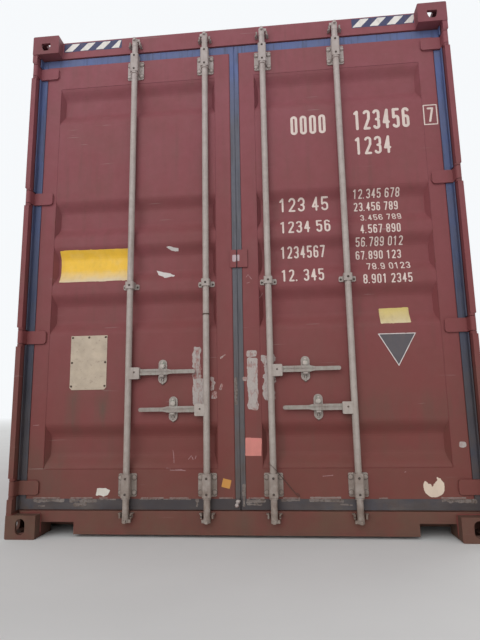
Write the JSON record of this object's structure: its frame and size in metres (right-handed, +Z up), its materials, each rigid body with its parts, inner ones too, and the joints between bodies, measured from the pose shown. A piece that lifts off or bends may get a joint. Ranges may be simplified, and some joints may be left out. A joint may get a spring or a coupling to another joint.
{
  "type": "shipping container",
  "caption": "High-cube steel shipping container with corrugated walls, two hinged end doors, lock rods with handles and catches, and corner fittings for lifting and stacking.",
  "frame": {"origin": "on the ground under the middle of the container", "axes": "+X to the right seen from the doors, +Y from the doors to the front wall, +Z up"},
  "size_m": [2.438, 12.192, 2.896],
  "materials": {
    "brick_red_paint": "matt, weathered",
    "galvanised_gear": "satin, worn",
    "door_rubber": "matt, dusty",
    "floor_plywood": "worn",
    "plate_metal": "dull"
  },
  "bodies": {
    "container": {"top_corner_fittings": "brick_red_paint", "bottom_corner_fittings": "brick_red_paint", "left_rear_post": "brick_red_paint", "right_rear_post": "brick_red_paint", "front_corner_posts": "brick_red_paint", "door_header": "brick_red_paint", "door_sill": "brick_red_paint", "cam_keepers": "brick_red_paint", "hinge_lugs": "brick_red_paint", "top_side_rails": "brick_red_paint", "bottom_side_rails": "brick_red_paint", "left_side_wall": "brick_red_paint", "right_side_wall": "brick_red_paint", "front_wall": "brick_red_paint", "front_header": "brick_red_paint", "front_sill": "brick_red_paint", "roof_sheet": "brick_red_paint", "roof_corner_plates": "brick_red_paint", "cross_members": "brick_red_paint", "gooseneck_tunnel": "brick_red_paint", "floor_boards": "floor_plywood", "floor_strip": "galvanised_gear"},
    "left_door": {"left_door_frame": "brick_red_paint", "left_door_panel": "brick_red_paint", "left_door_seal": "door_rubber", "left_hinge_blades": "brick_red_paint", "left_rod_brackets": "galvanised_gear", "left_handle_retainers": "galvanised_gear", "left_meeting_plate": "brick_red_paint", "data_plate": "plate_metal"},
    "right_door": {"right_door_frame": "brick_red_paint", "right_door_panel": "brick_red_paint", "right_door_seal": "door_rubber", "right_hinge_blades": "brick_red_paint", "right_rod_brackets": "galvanised_gear", "right_handle_retainers": "galvanised_gear", "right_meeting_plate": "brick_red_paint"},
    "rod_1": {"lock_rod_1": "galvanised_gear"},
    "handle_1": {"handle_1": "galvanised_gear"},
    "catch_1": {"handle_catch_1": "galvanised_gear"},
    "rod_2": {"lock_rod_2": "galvanised_gear"},
    "handle_2": {"handle_2": "galvanised_gear"},
    "catch_2": {"handle_catch_2": "galvanised_gear"},
    "rod_3": {"lock_rod_3": "galvanised_gear"},
    "handle_3": {"handle_3": "galvanised_gear"},
    "catch_3": {"handle_catch_3": "galvanised_gear"},
    "rod_4": {"lock_rod_4": "galvanised_gear"},
    "handle_4": {"handle_4": "galvanised_gear"},
    "catch_4": {"handle_catch_4": "galvanised_gear"}
  },
  "joints": [
    {"name": "left_door_swing", "type": "hinge", "parent": "container", "child": "left_door", "pos_m": [-1.202, -6.079, 1.45], "axis": [0, 0, -1], "range_deg": [0, 265]},
    {"name": "right_door_swing", "type": "hinge", "parent": "container", "child": "right_door", "pos_m": [1.202, -6.079, 1.45], "axis": [0, 0, 1], "range_deg": [0, 265]},
    {"name": "rod_1_turn", "type": "hinge", "parent": "left_door", "child": "rod_1", "pos_m": [-0.593, -6.06, 1.3], "axis": [0, 0, 1], "range_deg": [-90, 0]},
    {"name": "handle_1_lift", "type": "hinge", "parent": "rod_1", "child": "handle_1", "pos_m": [-0.559, -6.06, 0.843], "axis": [0, 1, 0], "range_deg": [-20, 0]},
    {"name": "catch_1_swing", "type": "hinge", "parent": "left_door", "child": "catch_1", "pos_m": [-0.411, -6.0425, 0.893], "axis": [0, 1, 0], "range_deg": [-90, 0]},
    {"name": "rod_2_turn", "type": "hinge", "parent": "left_door", "child": "rod_2", "pos_m": [-0.17, -6.06, 1.3], "axis": [0, 0, -1], "range_deg": [-90, 0]},
    {"name": "handle_2_lift", "type": "hinge", "parent": "rod_2", "child": "handle_2", "pos_m": [-0.204, -6.06, 0.645], "axis": [0, -1, 0], "range_deg": [-20, 0]},
    {"name": "catch_2_swing", "type": "hinge", "parent": "left_door", "child": "catch_2", "pos_m": [-0.352, -6.0425, 0.695], "axis": [0, -1, 0], "range_deg": [-90, 0]},
    {"name": "rod_3_turn", "type": "hinge", "parent": "right_door", "child": "rod_3", "pos_m": [0.17, -6.06, 1.3], "axis": [0, 0, 1], "range_deg": [-90, 0]},
    {"name": "handle_3_lift", "type": "hinge", "parent": "rod_3", "child": "handle_3", "pos_m": [0.204, -6.06, 0.843], "axis": [0, 1, 0], "range_deg": [-20, 0]},
    {"name": "catch_3_swing", "type": "hinge", "parent": "right_door", "child": "catch_3", "pos_m": [0.352, -6.0425, 0.893], "axis": [0, 1, 0], "range_deg": [-90, 0]},
    {"name": "rod_4_turn", "type": "hinge", "parent": "right_door", "child": "rod_4", "pos_m": [0.593, -6.06, 1.3], "axis": [0, 0, -1], "range_deg": [-90, 0]},
    {"name": "handle_4_lift", "type": "hinge", "parent": "rod_4", "child": "handle_4", "pos_m": [0.559, -6.06, 0.645], "axis": [0, -1, 0], "range_deg": [-20, 0]},
    {"name": "catch_4_swing", "type": "hinge", "parent": "right_door", "child": "catch_4", "pos_m": [0.411, -6.0425, 0.695], "axis": [0, -1, 0], "range_deg": [-90, 0]}
  ]
}
